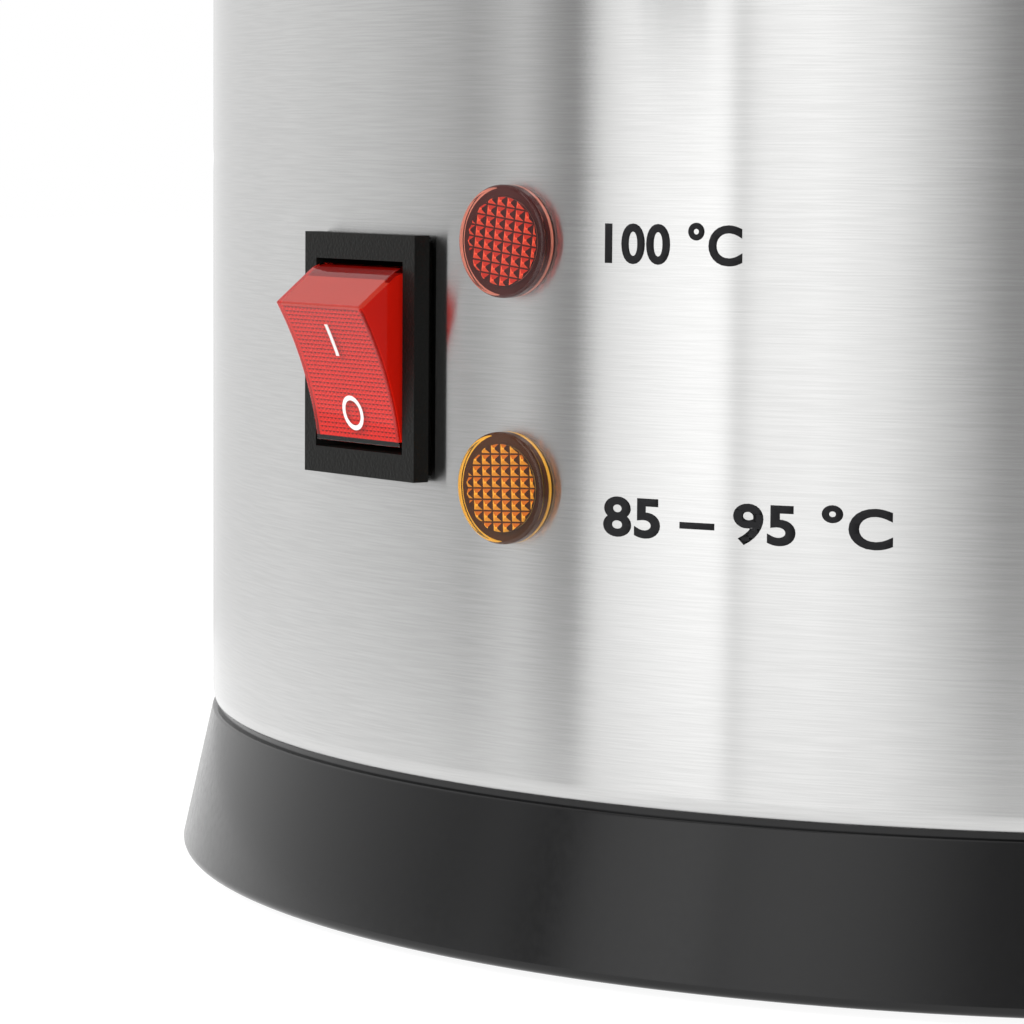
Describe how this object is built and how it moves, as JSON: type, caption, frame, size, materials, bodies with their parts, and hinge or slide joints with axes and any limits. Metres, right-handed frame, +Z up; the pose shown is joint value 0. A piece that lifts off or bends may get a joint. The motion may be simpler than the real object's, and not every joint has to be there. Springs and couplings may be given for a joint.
{
  "type": "hot water urn",
  "caption": "Upright cylindrical hot water urn of brushed steel on a black base, with lift-off lid, side handles, lever tap with sight gauge, rocker switch and pilot lamps.",
  "frame": {"origin": "centre of the foot ring, on the body's axis, at the level the urn stands on", "axes": "+Z up along the body's axis, the tap at -Y, the power inlet at +Y, the handles at +X and -X"},
  "size_m": [0.352, 0.3566, 0.4354],
  "materials": {
    "brushed_steel": "fine circumferential brushing, satin",
    "polished_steel": "polished stainless sheet",
    "zinc_steel": "zinc plated, satin",
    "chrome_brass": "chrome plated brass",
    "black_base": "satin moulded plastic",
    "black_bezel": "fine grained matte plastic",
    "black_phenolic": "glossy moulded phenolic",
    "black_rubber": "matte rubber",
    "silicone": "translucent silicone",
    "rocker_red": "translucent red plastic with a fine dot grid",
    "lens_red": "translucent red plastic with a pyramid pattern",
    "lens_amber": "translucent amber plastic with a pyramid pattern",
    "clear_glass": "clear borosilicate glass",
    "brass": "bare brass",
    "copper": "bare copper",
    "aluminium_plate": "cast aluminium",
    "heater_sheath": "heat tinted sheath",
    "phenolic_brown": "moulded phenolic",
    "white_nylon": "natural nylon",
    "reset_red": "moulded plastic",
    "wire_red": "silicone sleeved wire"
  },
  "bodies": {
    "urn": {"base_skirt": "black_base", "foot_ring": "black_rubber", "bottom_plate": "zinc_steel", "base_screws": "zinc_steel", "shell_lugs": "zinc_steel", "outer_shell": "brushed_steel", "heat_shield": "zinc_steel", "inner_tank": "polished_steel", "tank_rim": "polished_steel", "handle_left": "black_phenolic", "handle_right": "black_phenolic", "handle_brackets": "zinc_steel", "handle_screws": "zinc_steel", "tap_body": "chrome_brass", "tap_gaskets": "silicone", "tap_nut": "zinc_steel", "tap_bonnet": "black_phenolic", "tap_lever_pin": "zinc_steel", "gauge_tube": "clear_glass", "gauge_seal": "black_rubber", "gauge_nut": "chrome_brass", "gauge_guard": "polished_steel", "gauge_cap": "black_phenolic", "gauge_screw": "zinc_steel", "switch_housing": "black_bezel", "switch_terminals": "brass", "heat_lamp_lens": "lens_red", "warm_lamp_lens": "lens_amber", "lamp_bodies": "white_nylon", "lamp_bulbs": "clear_glass", "lamp_clips": "zinc_steel", "heater_plate": "aluminium_plate", "heating_element": "heater_sheath", "heater_studs": "zinc_steel", "boil_thermostat": "phenolic_brown", "warm_thermostat": "phenolic_brown", "thermostat_screws": "zinc_steel", "cutout_body": "black_phenolic", "cutout_capillary": "copper", "terminal_block": "white_nylon", "terminal_screws": "zinc_steel", "earth_stud": "brass", "power_inlet": "black_phenolic", "inlet_pins": "brass", "inlet_screws": "zinc_steel", "wiring": "wire_red"},
    "lid": {"lid_dome": "polished_steel", "lid_collar": "polished_steel", "lid_gasket": "silicone", "lid_knob": "black_phenolic", "lid_knob_screw": "zinc_steel"},
    "lever": {"tap_lever": "black_phenolic"},
    "valve_stem": {"tap_stem": "chrome_brass", "tap_stem_pin": "zinc_steel", "tap_seat_cup": "silicone", "tap_spring": "zinc_steel"},
    "rocker": {"switch_rocker": "rocker_red", "switch_plungers": "brass"},
    "contact_arms": {"switch_contact_arms": "copper"},
    "reset": {"reset_button": "reset_red"}
  },
  "joints": [
    {"name": "lid_lift", "type": "slide", "parent": "urn", "child": "lid", "axis": [0, 0, 1], "range_m": [0, 0.12]},
    {"name": "lever_press", "type": "hinge", "parent": "urn", "child": "lever", "pos_m": [0, -0.18, 0.189], "axis": [1, 0, 0], "range_deg": [0, 24.5]},
    {"name": "stem_lift", "type": "slide", "parent": "urn", "child": "valve_stem", "axis": [0, 0, 1], "range_m": [0, 0.00351], "stiffness_N_per_m": 400, "springref_m": -0.01, "deforming": ["tap_spring"]},
    {"name": "rocker_tilt", "type": "hinge", "parent": "urn", "child": "rocker", "pos_m": [-0.03191, -0.11993, 0.0767], "axis": [-0.9664, 0.2571, 0], "range_deg": [0, 40]},
    {"name": "contact_tilt", "type": "hinge", "parent": "urn", "child": "contact_arms", "pos_m": [-0.02872, -0.10794, 0.0767], "axis": [-0.9664, 0.2571, 0], "range_deg": [-16.2, 0]},
    {"name": "reset_press", "type": "slide", "parent": "urn", "child": "reset", "axis": [0, 0, 1], "range_m": [0, 0.0015], "stiffness_N_per_m": 300, "springref_m": -0.002}
  ],
  "couplings": [
    {"joint": "lever_press", "follows": "stem_lift", "rad_per_m": 119.39},
    {"joint": "contact_tilt", "follows": "rocker_tilt", "ratio": -0.4}
  ]
}
